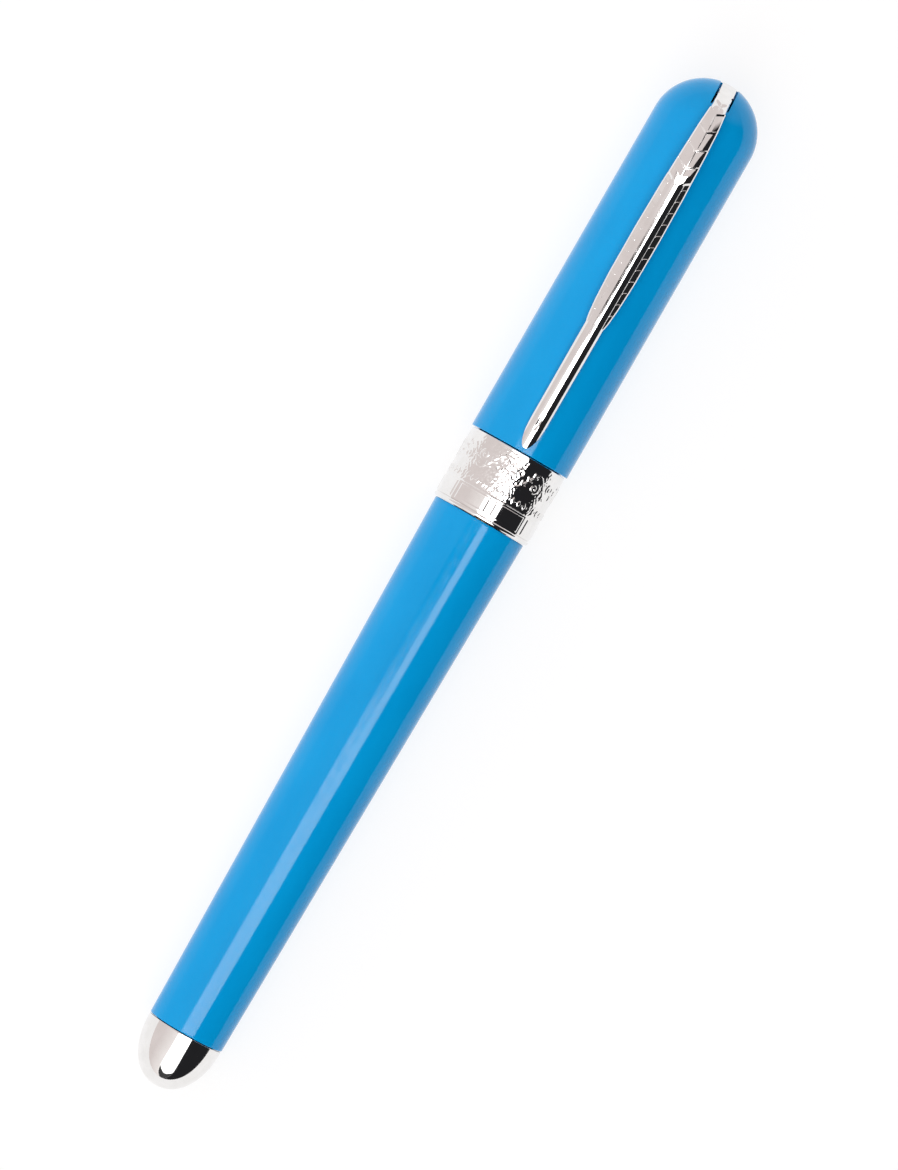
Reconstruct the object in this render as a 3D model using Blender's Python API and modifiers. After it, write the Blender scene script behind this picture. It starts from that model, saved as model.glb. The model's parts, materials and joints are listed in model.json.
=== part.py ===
"""Rollerball pen with its cap on: resin barrel and cap, polished metal trim, magnetic cap, sprung refill.

The pen lies along X with its cap's dome at +X and its clip upwards. X = 0 is the middle of its length,
Y = 0 is its axis, and Z = 0 is the lowest line of the cap. Every number below is in millimetres, and the
helpers turn them into metres. Outlines are (x, r) pairs: a place along the pen and a radius from its axis.
Round pieces are faceted. Their radii are true at the middle of each facet, and one facet lies flat below.
"""

from math import cos, pi, radians, sin, tan

import bmesh
import bpy
import numpy as np
from mathutils import Matrix, Vector

MM = 0.001

# Overall sizes
LENGTH = 142.0
CAP_END = LENGTH / 2
TAIL_END = -LENGTH / 2
CAP_RADIUS = 6.75
DOME_CENTRE = CAP_END - CAP_RADIUS

# Cap band, at the cap's lip
BAND_START = 9.2
BAND_END = 18.8
BAND_RADIUS = 6.6
BAND_BORE = 5.9

# Barrel
BARREL_MOUTH_RADIUS = 6.2
BARREL_TAIL_RADIUS = 5.04
FINIAL_START = -63.5
BARREL_BORE = 3.4
FINIAL_BLUNTNESS = 2.15

# Gaps: between end faces, and between a bore and what it holds
SEAM = 0.1
FIT = 0.1

# Thread between the writing section and the barrel
THREAD_PITCH = 1.2
THREAD_TURNS = 5
THREAD_START = -3.0
THREAD_ROOT = 3.8
THREAD_CREST = 4.35

# Magnet rings: six magnets in each, face to face across the seat washer
MAGNET_COUNT = 6
MAGNET_CIRCLE = 5.1
MAGNET_RADIUS = 0.4
MAGNET_LENGTH = 2.1
COLLAR_FACE = 12.65
CAP_RING_FACE = 13.25

# Refill of the common 110 mm rollerball size
REFILL_TAIL = -58.4
REFILL_RADIUS = 3.05
REFILL_TUBE_END = 30.0
BALL_CENTRE = 51.5
BALL_RADIUS = 0.35

# Clip
CLIP_ROOT_WIDTH = 1.95
CLIP_THICKNESS = 1.3
CLIP_ROOT_THICKNESS = 0.9
CLIP_SLOT_WIDTH = 2.5
CLIP_TIP = 19.4
CLIP_LIFT_ANGLE = 18
CLIP_PIVOT = (68.2, 0.0, 1.2)
CLIP_SCREW_RADIUS = 0.5

# Facets round a piece: outer shells, inner pieces, small ones
ROUND_SHELL = 32
ROUND_INNER = 24
ROUND_SMALL = 12


# ---------------------------------------------------------------- scene and helpers


def clear_scene():
    for obj in list(bpy.data.objects):
        bpy.data.objects.remove(obj)


def new_collection(name):
    collection = bpy.data.collections.new(name)
    bpy.context.scene.collection.children.link(collection)
    return collection


def material(name, colour, roughness, metallic=0.0):
    made = bpy.data.materials.new(name)
    made.use_nodes = True
    shader = made.node_tree.nodes["Principled BSDF"]
    shader.inputs["Base Color"].default_value = (*colour, 1.0)
    shader.inputs["Roughness"].default_value = roughness
    shader.inputs["Metallic"].default_value = metallic
    return made


def body_empty(name, place=(0.0, 0.0, 0.0)):
    """An empty on a body's joint, at a place given from the pen's axis."""
    empty = bpy.data.objects.new(name, None)
    empty.empty_display_size = 0.005
    empty.location = (Vector(place) + Vector((0, 0, CAP_RADIUS))) * MM
    PEN.objects.link(empty)
    return empty


def add_part(name, mesh, look, body, along_pen=True):
    """Put a mesh in the pen as a sub-part. Turned meshes have their axis along Z and are laid along X."""
    obj = bpy.data.objects.new(name, mesh)
    PEN.objects.link(obj)
    obj.data.materials.append(look)
    obj.parent = body
    if along_pen:
        obj.rotation_euler = (0.0, pi / 2, 0.0)
    return obj


def add_cutter(name, mesh, target, operation="DIFFERENCE"):
    """A hidden tool that shares its target's place, with the Boolean that uses it."""
    cutter = bpy.data.objects.new(name, mesh)
    CUTTERS.objects.link(cutter)
    cutter.parent = target.parent
    cutter.location = target.location
    cutter.rotation_euler = target.rotation_euler
    cutter.hide_render = True
    cutter.display_type = "WIRE"
    boolean = target.modifiers.new(name, "BOOLEAN")
    boolean.operation = operation
    boolean.object = cutter
    return cutter


def evaluated_mesh(obj):
    """The object's shape with its modifiers applied, as a mesh of its own. The object is removed."""
    bpy.context.scene.collection.objects.link(obj)
    bpy.context.view_layer.update()
    graph = bpy.context.evaluated_depsgraph_get()
    mesh = bpy.data.meshes.new_from_object(obj.evaluated_get(graph))
    bpy.data.objects.remove(obj)
    return mesh


def shaded(mesh):
    """Smooth shading that keeps the real corners sharp."""
    mesh.shade_smooth()
    mesh.set_sharp_from_angle(angle=radians(32))
    return mesh


def screwed(name, points, edges, facets, rise=0.0, turns=1):
    """A profile in the XZ plane swept round Z, with a rise per turn for a helix."""
    profile = bpy.data.meshes.new(name)
    profile.from_pydata(points, edges, [])
    obj = bpy.data.objects.new(name, profile)
    screw = obj.modifiers.new("Screw", "SCREW")
    screw.axis = "Z"
    screw.steps = facets
    screw.render_steps = facets
    screw.screw_offset = rise
    screw.iterations = turns
    screw.use_merge_vertices = rise == 0.0
    screw.merge_threshold = 0.00001
    return evaluated_mesh(obj)


def turned(name, outline, facets=ROUND_INNER):
    """A turned mesh about Z. The outline runs down the outside and back up the bore.

    One that starts on the axis, at r = 0, also ends there. Any other is a closed loop, which makes a ring.
    The corners stand half a facet to either side of the lowest line, so that the piece lies on a flat."""
    half_facet = pi / facets
    sideways = tan(half_facet)
    points = [(r * MM, r * sideways * MM, x * MM) for x, r in outline]
    edges = [(i, i + 1) for i in range(len(points) - 1)]
    if outline[0][1] > 0:
        edges.append((len(points) - 1, 0))
    return shaded(screwed(name, points, edges, facets))


def tube(start, end, radius, bore):
    """Outline of a plain ring or sleeve."""
    return [(end, radius), (start, radius), (start, bore), (end, bore)]


def arc(centre_x, centre_r, radius, first, last, steps):
    """Points of an arc from one angle to another, in degrees from +X."""
    angles = [radians(first + (last - first) * i / steps) for i in range(steps + 1)]
    return [(centre_x + radius * cos(a), centre_r + radius * sin(a)) for a in angles]


def helical_ridge(name, root, crest, root_width, crest_width, middle):
    """A thread's ridge as a closed solid, from a trapezium that a Screw sweeps along a helix."""
    outer, inner = (crest, root) if crest > root else (root, crest)
    outer_width, inner_width = (crest_width, root_width) if crest > root else (root_width, crest_width)
    corners = [
        (outer, middle + outer_width / 2),
        (outer, middle - outer_width / 2),
        (inner, middle - inner_width / 2),
        (inner, middle + inner_width / 2),
    ]
    points = [(r * MM, 0.0, x * MM) for r, x in corners]
    edges = [(0, 1), (1, 2), (2, 3), (3, 0)]
    mesh = screwed(name, points, edges, ROUND_INNER, THREAD_PITCH * MM, THREAD_TURNS)
    work = bmesh.new()
    work.from_mesh(mesh)
    bmesh.ops.holes_fill(work, edges=work.edges, sides=4)
    bmesh.ops.recalc_face_normals(work, faces=work.faces)
    work.to_mesh(mesh)
    work.free()
    return mesh


def box_mesh(name, low, high):
    """A box between two corners."""
    low, high = Vector(low) * MM, Vector(high) * MM
    work = bmesh.new()
    bmesh.ops.create_cube(work, size=1.0)
    bmesh.ops.scale(work, vec=high - low, verts=work.verts)
    bmesh.ops.translate(work, vec=(low + high) / 2, verts=work.verts)
    mesh = bpy.data.meshes.new(name)
    work.to_mesh(mesh)
    work.free()
    return mesh


def rods_mesh(name, radius, start, end, places, facets=ROUND_SMALL):
    """Round rods along Z, side by side at (x, y) places."""
    work = bmesh.new()
    for x, y in places:
        middle = Vector((x, y, (start + end) / 2)) * MM
        bmesh.ops.create_cone(
            work,
            cap_ends=True,
            segments=facets,
            radius1=radius * MM,
            radius2=radius * MM,
            depth=(end - start) * MM,
            matrix=Matrix.Translation(middle),
        )
    mesh = bpy.data.meshes.new(name)
    work.to_mesh(mesh)
    work.free()
    return mesh


# ---------------------------------------------------------------- barrel


def make_barrel_tube():
    """Tapered resin tube: a pocket for the finial's spigot at its tail and one for the insert at its mouth."""
    mouth = BAND_START - SEAM
    tail = FINIAL_START + SEAM
    outline = [
        (mouth, BARREL_MOUTH_RADIUS - 0.15),
        (mouth - 0.15, BARREL_MOUTH_RADIUS),
        (tail, BARREL_TAIL_RADIUS),
        (tail, 4.0),
        (-58.9, 4.0),
        (-58.9, BARREL_BORE),
        (-4.9, BARREL_BORE),
        (-4.9, 5.2),
        (mouth, 5.2),
    ]
    add_part("barrel_tube", turned("barrel_tube", outline, ROUND_SHELL), BLUE_RESIN, BARREL)


def make_barrel_finial():
    """Polished bullet that closes the barrel. Its hollow spigot holds the spring."""
    length = FINIAL_START - TAIL_END
    steps = 8
    angles = [radians(90 + 90 * i / steps) for i in range(steps)]
    power = 2 / FINIAL_BLUNTNESS
    bullet = [
        (FINIAL_START - length * abs(cos(a)) ** power, BARREL_TAIL_RADIUS * sin(a) ** power) for a in angles
    ]
    spigot_end = -59.2
    spigot_bore = 2.9
    outline = [
        (-67.0, 0.0),
        (-67.0, spigot_bore),
        (spigot_end, spigot_bore),
        (spigot_end, 3.9),
        (FINIAL_START, 3.9),
        *bullet,
        (TAIL_END, 0.0),
    ]
    add_part("barrel_finial", turned("barrel_finial", outline, ROUND_SHELL), SILVER_TRIM, BARREL)


def make_barrel_insert():
    """Threaded bushing in the barrel's mouth. Its ridge runs in the middle of the connector's groove."""
    wall_bore = 4.6
    mesh = turned("barrel_insert", tube(-4.6, 8.2, 5.1, wall_bore))
    insert = add_part("barrel_insert", mesh, BRASS, BARREL)
    ridge = helical_ridge(
        "insert_thread", wall_bore + 0.2, 3.97, 0.6, 0.24, THREAD_START + THREAD_PITCH / 2
    )
    add_cutter("insert_thread", ridge, insert, "UNION")


def make_refill_spring():
    """Coil spring between the finial's floor and the refill's end plug."""
    start, end, radius, wire, turns = -66.6, -58.85, 2.25, 0.25, 5
    points_per_turn = 12
    count = turns * points_per_turn
    curve = bpy.data.curves.new("refill_spring", "CURVE")
    curve.dimensions = "3D"
    curve.bevel_depth = wire * MM
    curve.bevel_resolution = 2
    curve.use_fill_caps = True
    coil = curve.splines.new("POLY")
    coil.points.add(count)
    for i, point in enumerate(coil.points):
        turn = 2 * pi * i / points_per_turn
        along = start + (end - start) * i / count
        place = Vector((radius * cos(turn), radius * sin(turn), along)) * MM
        point.co = (*place, 1.0)
    add_part("refill_spring", curve, SPRING_STEEL, BARREL)


# ---------------------------------------------------------------- writing section


def make_section_connector():
    """Hollow nipple that screws into the barrel. Its plain end is bonded into the collar and the grip."""
    outline = [
        (22.0, 3.7),
        (8.3, 3.7),
        (8.0, THREAD_ROOT),
        (-4.2, THREAD_ROOT),
        (-4.2, 3.25),
        (22.0, 3.25),
    ]
    connector = add_part("section_connector", turned("section_connector", outline), BRASS, SECTION)
    ridge = helical_ridge("connector_thread", THREAD_ROOT - 0.2, THREAD_CREST, 0.7, 0.26, THREAD_START)
    add_cutter("connector_thread", ridge, connector, "UNION")


def make_section_seal():
    """O-ring between the barrel's insert and the collar."""
    centre_x, centre_r, wire = 8.72, 4.3, 0.36
    ring = arc(centre_x, centre_r, wire, 0, 315, 7)
    add_part("section_o_ring", turned("section_o_ring", ring), RUBBER, SECTION)


def magnet_places():
    angles = [2 * pi * i / MAGNET_COUNT for i in range(MAGNET_COUNT)]
    return [(MAGNET_CIRCLE * cos(a), MAGNET_CIRCLE * sin(a)) for a in angles]


def make_magnet_ring(name, outline, start, end, body):
    """A metal ring with round pockets from start to end for its magnets."""
    ring = add_part(name, turned(name, outline), SILVER_TRIM, body)
    pockets = rods_mesh(name + "_pockets", MAGNET_RADIUS + 0.05, start, end, magnet_places())
    add_cutter(name + "_pockets", pockets, ring)


def make_magnets(prefix, start, body):
    """Six magnets round the pen's axis, each its own piece on one shared mesh."""
    mesh = rods_mesh(prefix, MAGNET_RADIUS, 0.0, MAGNET_LENGTH, [(0.0, 0.0)])
    shaded(mesh)
    for number, (across, up) in enumerate(magnet_places(), 1):
        magnet = add_part(f"{prefix}_{number}", mesh, MAGNET, body)
        magnet.location = Vector((start, up, -across)) * MM


def make_section_collar():
    """Polished ring at the grip's root, the half of the magnetic catch that stays with the section."""
    outline = [
        (COLLAR_FACE, 5.55),
        (COLLAR_FACE - 0.15, 5.7),
        (9.25, 5.7),
        (9.25, 3.85),
        (COLLAR_FACE, 3.85),
    ]
    pocket_floor = COLLAR_FACE - MAGNET_LENGTH - 0.1
    make_magnet_ring("section_collar", outline, pocket_floor, COLLAR_FACE + 1, SECTION)
    make_magnets("section_magnet", COLLAR_FACE - MAGNET_LENGTH - 0.03, SECTION)


def make_grip_section():
    """Resin grip: a seat for the washer, a shoulder that keeps it on, a waist and a flare."""
    start, end, bore = COLLAR_FACE + 0.05, 40.0, 3.3
    base_x, base_r = 13.2, 4.4
    waist_x, waist_r = 29.0, 4.05
    flare_x, flare_r = 37.2, 4.35
    steps = 6
    flare = []
    for i in range(steps + 1):
        swell = (1 + cos(pi * i / steps)) / 2
        flare.append((flare_x + (waist_x - flare_x) * i / steps, waist_r + (flare_r - waist_r) * swell))
    outline = [
        (end, 3.6),
        (end - 0.4, 3.85),
        (end - 1.4, 4.22),
        *flare,
        (base_x + 3.0, base_r),
        (base_x, base_r),
        (base_x, 4.1),
        (start, 4.1),
        (start, 3.8),
        (22.2, 3.8),
        (22.2, bore),
        (end, bore),
    ]
    add_part("grip_section", turned("grip_section", outline), BLUE_RESIN, SECTION)


def make_nose_cone():
    """Polished cone with a spigot in the grip. The refill's holder stops against its inner step."""
    start, end = 40.0 + SEAM, 49.4
    steps = 5
    side = [
        (end - 0.35 - (end - 0.35 - start) * i / steps, 1.85 + (3.55 - 1.85) * (i / steps) ** 0.8)
        for i in range(steps + 1)
    ]
    outline = [
        (end, 1.6),
        *side,
        (start, 3.2),
        (36.0, 3.2),
        (36.0, 2.55),
        (42.9, 2.55),
        (42.9, 1.9),
        (45.5, 1.9),
        (45.5, 1.3),
        (end, 1.3),
    ]
    add_part("nose_cone", turned("nose_cone", outline), SILVER_TRIM, SECTION)


def make_seat_washer():
    """Thin washer that the cap's magnet ring lands on. It turns with the cap on its seat."""
    mesh = turned("cap_seat_washer", tube(12.78, 13.12, 5.65, 4.2))
    add_part("cap_seat_washer", mesh, WHITE_NYLON, WASHER)


# ---------------------------------------------------------------- refill


def make_refill_tube():
    mesh = turned("refill_tube", tube(REFILL_TAIL + 0.9, REFILL_TUBE_END, REFILL_RADIUS, 2.65))
    add_part("refill_tube", mesh, REFILL_PLASTIC, REFILL)


def make_refill_end_plug():
    outline = [
        (-54.0, 0.0),
        (-54.0, 2.4),
        (-54.3, 2.55),
        (REFILL_TAIL + 0.8, 2.55),
        (REFILL_TAIL + 0.8, REFILL_RADIUS),
        (REFILL_TAIL + 0.15, REFILL_RADIUS),
        (REFILL_TAIL, REFILL_RADIUS - 0.15),
        (REFILL_TAIL, 0.0),
    ]
    add_part("refill_end_plug", turned("refill_end_plug", outline), BLACK_PLASTIC, REFILL)


def make_ink_reservoir():
    """Fibre rod that holds the ink, with a blind hole for the wick."""
    outline = [
        (10.0, 0.0),
        (10.0, 0.6),
        (24.5, 0.6),
        (24.5, 2.5),
        (-53.6, 2.5),
        (-53.6, 0.0),
    ]
    add_part("ink_reservoir", turned("ink_reservoir", outline, ROUND_SMALL), INK_FIBRE, REFILL)


def make_ink_wick():
    outline = [(47.4, 0.0), (47.0, 0.42), (10.4, 0.42), (10.4, 0.0)]
    add_part("ink_wick", turned("ink_wick", outline, ROUND_SMALL), INK_FIBRE, REFILL)


def make_refill_holder():
    """Plastic front of the refill: a plug in the tube, a long neck, and a bore for the wick and the tip."""
    outline = [
        (45.2, 1.55),
        (45.05, 1.7),
        (42.6, 1.7),
        (42.6, 2.2),
        (42.45, 2.35),
        (31.5, 2.35),
        (31.5, REFILL_RADIUS),
        (REFILL_TUBE_END + SEAM, REFILL_RADIUS),
        (REFILL_TUBE_END + SEAM, 2.55),
        (26.0, 2.55),
        (26.0, 0.6),
        (41.0, 0.6),
        (41.0, 1.1),
        (45.2, 1.1),
    ]
    add_part("refill_holder", turned("refill_holder", outline), BLACK_PLASTIC, REFILL)


def make_refill_tip():
    """Metal point: a shank in the holder, a cone, an ink channel, and a socket that curls in over the ball."""
    socket_back, lip = 51.1, 51.65
    outline = [
        (lip, 0.45),
        (51.4, 0.5),
        (50.2, 0.62),
        (48.2, 1.15),
        (45.3, 1.15),
        (45.3, 1.0),
        (41.2, 1.0),
        (41.2, 0.6),
        (47.8, 0.6),
        (47.8, 0.2),
        (socket_back, 0.2),
        (socket_back, 0.41),
        (51.5, 0.41),
        (lip, 0.345),
    ]
    add_part("refill_tip", turned("refill_tip", outline), STEEL, REFILL)


def make_writing_ball():
    work = bmesh.new()
    bmesh.ops.create_uvsphere(work, u_segments=16, v_segments=10, radius=BALL_RADIUS * MM)
    mesh = bpy.data.meshes.new("writing_ball")
    work.to_mesh(mesh)
    work.free()
    mesh.shade_smooth()
    add_part("writing_ball", mesh, BALL_CERAMIC, BALL, along_pen=False)


# ---------------------------------------------------------------- cap


def make_cap_shell():
    """Resin cap with a hemispherical dome. A slot over the dome's end takes the clip's root."""
    wall_bore = 5.55
    start = BAND_END + SEAM
    outline = [
        *arc(DOME_CENTRE, 0.0, CAP_RADIUS, 0, 90, 9),
        (start, CAP_RADIUS),
        (start, 5.85),
        (22.9, 5.85),
        (22.9, wall_bore),
        *arc(DOME_CENTRE, 0.0, wall_bore, 90, 0, 6),
    ]
    shell = add_part("cap_shell", turned("cap_shell", outline, ROUND_SHELL), BLUE_RESIN, CAP)
    half = CLIP_SLOT_WIDTH / 2
    # In the turned frame Z is along the pen and -X is up, so the slot opens towards -X.
    slot = box_mesh("clip_slot", (-8.0, -half, 67.4), (0.9, half, CAP_END + 1))
    add_cutter("clip_slot", slot, shell)


def make_inner_cap():
    """Liner that closes round the point."""
    outline = [
        (61.9, 0.0),
        (61.9, 5.1),
        (61.6, 5.4),
        (23.2, 5.4),
        (23.2, 4.9),
        (61.3, 4.9),
        (61.3, 0.0),
    ]
    add_part("inner_cap", turned("inner_cap", outline), BLACK_PLASTIC, CAP)


def make_centre_band():
    """Metal lip of the cap with a rim at each edge. Its sleeve is bonded into the shell."""
    groove = 0.12
    outline = [
        (22.6, 5.75),
        (BAND_END, 5.75),
        (BAND_END, BAND_RADIUS),
        (BAND_END - 0.4, BAND_RADIUS),
        (BAND_END - 0.5, BAND_RADIUS - groove),
        (BAND_START + 0.7, BAND_RADIUS - groove),
        (BAND_START + 0.6, BAND_RADIUS),
        (BAND_START + 0.15, BAND_RADIUS),
        (BAND_START, BAND_RADIUS - 0.15),
        (BAND_START, BAND_BORE),
        (17.4, BAND_BORE),
        (17.4, 5.2),
        (22.6, 5.2),
    ]
    add_part("centre_band", turned("centre_band", outline, ROUND_SHELL), SILVER_TRIM, CAP)


def make_cap_magnet_ring():
    outline = tube(CAP_RING_FACE, 16.6, BAND_BORE - FIT, 4.55)
    pocket_floor = CAP_RING_FACE + MAGNET_LENGTH + 0.1
    make_magnet_ring("cap_magnet_ring", outline, CAP_RING_FACE - 1, pocket_floor, CAP)
    make_magnets("cap_magnet", CAP_RING_FACE + 0.03, CAP)


def make_clip_anchor():
    """Block in the dome with a pocket for the clip's root and a hole for the screw."""
    outline = [
        (67.3, 0.0),
        (67.3, 3.9),
        (67.0, 4.2),
        (63.3, 4.2),
        (63.3, 0.0),
    ]
    anchor = add_part("clip_anchor", turned("clip_anchor", outline), BLACK_PLASTIC, CAP)
    half = CLIP_SLOT_WIDTH / 2
    pocket = box_mesh("anchor_pocket", (-3.0, -half, 65.8), (0.6, half, 68.0))
    add_cutter("anchor_pocket", pocket, anchor)
    hole = rods_mesh("anchor_hole", CLIP_SCREW_RADIUS + 0.12, 62.0, 67.0, [(-CLIP_PIVOT[2], 0.0)])
    add_cutter("anchor_hole", hole, anchor)


def make_clip_screw():
    """Screw with a slotted head that draws the clip's root into the anchor."""
    head_start, head_end, tip = 62.1, 63.2, 68.6
    outline = [
        (tip, 0.0),
        (tip - 0.3, CLIP_SCREW_RADIUS),
        (head_end, CLIP_SCREW_RADIUS),
        (head_end, 1.1),
        (head_start + 0.2, 1.1),
        (head_start, 0.9),
        (head_start, 0.0),
    ]
    screw = add_part("clip_screw", turned("clip_screw", outline, ROUND_SMALL), STEEL, CAP)
    screw.location = Vector((0, 0, CLIP_PIVOT[2])) * MM
    slot = box_mesh("screw_slot", (-2.0, -0.18, head_start - 1), (2.0, 0.18, head_start + 0.45))
    add_cutter("screw_slot", slot, screw)


# ---------------------------------------------------------------- clip


def bezier(points, steps):
    """Points of a cubic curve, without its last one."""
    a, b, c, d = (Vector(p) for p in points)
    made = []
    for i in range(steps):
        t = i / steps
        s = 1 - t
        made.append(a * s**3 + b * 3 * s * s * t + c * 3 * s * t * t + d * t**3)
    return made


def clip_top_line():
    """The clip's outer line, as (x, z) from the pen's axis, from its root at the dome's end to its tip.

    It lies flush in the dome, lifts off in a tight shoulder, runs straight down to the shaft's end and dips."""
    flush = [Vector(p) for p in arc(DOME_CENTRE, 0.0, CAP_RADIUS, -4, CLIP_LIFT_ANGLE, 2)[:-1]]
    lift_angle = radians(CLIP_LIFT_ANGLE)
    lift_off = Vector((DOME_CENTRE + CAP_RADIUS * cos(lift_angle), CAP_RADIUS * sin(lift_angle)))
    heading = Vector((-sin(lift_angle), cos(lift_angle)))
    top, heel = Vector((58.0, 9.5)), Vector((24.0, 8.3))
    fall = (heel - top).normalized()
    rise = bezier([lift_off, lift_off + 7.5 * heading, top - 6.0 * fall, top], 8)
    stations = (58.0, 50.0, 43.5, 37.1, 36.5, 30.0, 24.0)
    straight = [top.lerp(heel, (top.x - x) / (top.x - heel.x)) for x in stations]
    dip = [Vector((22.0, 8.15)), Vector((20.4, 7.85)), Vector((CLIP_TIP, 7.5))]
    return flush + rise + straight + dip


def clip_half_width(x):
    """Half the clip's width: it swells along the vanes, steps in to the shaft, and comes to a point."""
    places = [CLIP_TIP, 20.4, 22.0, 24.0, 36.5, 37.1, 43.0, 49.5, 55.5, 60.0, 65.0, 68.5]
    halves = [0.3, 0.85, 1.1, 1.17, 1.24, 1.65, 1.8, 1.8, 1.7, 1.55, 1.32, CLIP_ROOT_WIDTH / 2]
    return float(np.interp(x, places, halves))


def clip_thickness(x, z):
    """Thin where it lies in the dome, and thinned again at the tip, whose back rests just off the cap."""
    if x > 66.0:
        return CLIP_ROOT_THICKNESS
    return min(CLIP_THICKNESS, z - CAP_RADIUS - FIT)


def clip_section(half, thickness):
    """A flat back, low sides and a ridged crown, as (across, height) from the top line."""
    return [
        (-half, -thickness),
        (half, -thickness),
        (half, -thickness * 0.55),
        (half * 0.4, -0.12),
        (0.0, 0.0),
        (-half * 0.4, -0.12),
        (-half, -thickness * 0.55),
    ]


def clip_mesh():
    """Sections lofted along the top line, with the origin at the pivot."""
    line = clip_top_line()
    work = bmesh.new()
    rings = []
    for i, point in enumerate(line):
        tangent = (line[min(i + 1, len(line) - 1)] - line[max(i - 1, 0)]).normalized()
        outward = Vector((tangent.y, -tangent.x))
        ring = []
        for across, height in clip_section(clip_half_width(point.x), clip_thickness(*point)):
            place = Vector((point.x + outward.x * height, across, point.y + outward.y * height))
            ring.append(work.verts.new((place - Vector(CLIP_PIVOT)) * MM))
        rings.append(ring)
    for ring, following in zip(rings, rings[1:]):
        for i in range(len(ring)):
            j = (i + 1) % len(ring)
            work.faces.new((ring[i], ring[j], following[j], following[i]))
    work.faces.new(rings[0])
    work.faces.new(reversed(rings[-1]))
    bmesh.ops.recalc_face_normals(work, faces=work.faces)
    mesh = bpy.data.meshes.new("clip")
    work.to_mesh(mesh)
    work.free()
    return mesh


def make_clip():
    """Feather-shaped clip. A root block behind its flush end takes the screw."""
    clip = add_part("clip", shaded(clip_mesh()), SILVER_TRIM, CLIP, along_pen=False)
    px, _, pz = CLIP_PIVOT
    half = CLIP_ROOT_WIDTH / 2
    root = box_mesh("clip_root", (66.1 - px, -half, -0.1 - pz), (70.4 - px, half, 2.5 - pz))
    add_cutter("clip_root", root, clip, "UNION")
    hole = rods_mesh("clip_root_hole", CLIP_SCREW_RADIUS + 0.25, 65.0 - px, 69.0 - px, [(0.0, 0.0)])
    hole.transform(Matrix.Rotation(pi / 2, 4, "Y"))
    add_cutter("clip_root_hole", hole, clip)


clear_scene()
PEN = new_collection("rollerball_pen")
CUTTERS = new_collection("cutters")

BLUE_RESIN = material("blue_resin", (0.0, 0.29, 0.68), 0.12)
SILVER_TRIM = material("silver_trim", (0.86, 0.85, 0.84), 0.08, 1.0)
BRASS = material("brass", (0.78, 0.6, 0.3), 0.3, 1.0)
STEEL = material("steel", (0.7, 0.7, 0.7), 0.25, 1.0)
SPRING_STEEL = material("spring_steel", (0.6, 0.6, 0.62), 0.3, 1.0)
MAGNET = material("magnet_nickel", (0.72, 0.71, 0.69), 0.2, 1.0)
RUBBER = material("rubber", (0.02, 0.02, 0.02), 0.6)
WHITE_NYLON = material("white_nylon", (0.85, 0.85, 0.82), 0.45)
BLACK_PLASTIC = material("black_plastic", (0.02, 0.02, 0.022), 0.35)
REFILL_PLASTIC = material("refill_plastic", (0.75, 0.76, 0.78), 0.3)
INK_FIBRE = material("ink_fibre", (0.03, 0.05, 0.2), 0.9)
BALL_CERAMIC = material("ball_ceramic", (0.3, 0.3, 0.32), 0.1)

BARREL = body_empty("barrel_axis")
REFILL = body_empty("refill_axis")
SECTION = body_empty("section_axis")
WASHER = body_empty("washer_axis")
CAP = body_empty("cap_axis")
CLIP = body_empty("clip_pivot", CLIP_PIVOT)
BALL = body_empty("ball_pivot", (BALL_CENTRE, 0.0, 0.0))

make_barrel_tube()
make_barrel_finial()
make_barrel_insert()
make_refill_spring()
make_section_connector()
make_section_seal()
make_section_collar()
make_grip_section()
make_nose_cone()
make_seat_washer()
make_refill_tube()
make_refill_end_plug()
make_ink_reservoir()
make_ink_wick()
make_refill_holder()
make_refill_tip()
make_writing_ball()
make_cap_shell()
make_inner_cap()
make_centre_band()
make_cap_magnet_ring()
make_clip_anchor()
make_clip_screw()
make_clip()
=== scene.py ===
import json
from math import cos, pi, radians, sin, tan

import bmesh
import bpy
import numpy as np
from mathutils import Matrix, Vector


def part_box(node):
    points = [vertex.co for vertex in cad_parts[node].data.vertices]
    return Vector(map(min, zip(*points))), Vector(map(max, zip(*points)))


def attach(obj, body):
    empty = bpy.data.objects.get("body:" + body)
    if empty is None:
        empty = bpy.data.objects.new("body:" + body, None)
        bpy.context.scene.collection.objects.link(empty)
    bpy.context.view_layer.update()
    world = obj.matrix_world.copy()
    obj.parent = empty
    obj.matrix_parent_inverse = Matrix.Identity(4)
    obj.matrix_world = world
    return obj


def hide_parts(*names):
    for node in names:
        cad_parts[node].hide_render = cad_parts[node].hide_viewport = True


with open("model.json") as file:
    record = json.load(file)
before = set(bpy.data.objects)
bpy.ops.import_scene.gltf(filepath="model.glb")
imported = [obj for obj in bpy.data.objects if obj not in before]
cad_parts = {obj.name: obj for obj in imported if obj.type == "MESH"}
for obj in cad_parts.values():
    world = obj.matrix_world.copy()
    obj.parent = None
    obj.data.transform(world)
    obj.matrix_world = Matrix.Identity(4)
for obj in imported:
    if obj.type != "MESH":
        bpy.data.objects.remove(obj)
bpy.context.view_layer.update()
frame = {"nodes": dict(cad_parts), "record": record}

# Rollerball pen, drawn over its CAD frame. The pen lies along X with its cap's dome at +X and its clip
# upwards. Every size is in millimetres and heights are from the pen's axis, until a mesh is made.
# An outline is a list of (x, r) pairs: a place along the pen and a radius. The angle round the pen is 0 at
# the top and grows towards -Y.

MM = 0.001


def ends(node):
    """Where a CAD node starts and ends along the pen."""
    low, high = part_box(node)
    return low.x / MM, high.x / MM


def radius_of(node):
    low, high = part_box(node)
    return (high.y - low.y) / MM / 2


def middle_height(node):
    low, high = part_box(node)
    return (low.z + high.z) / MM / 2


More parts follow.
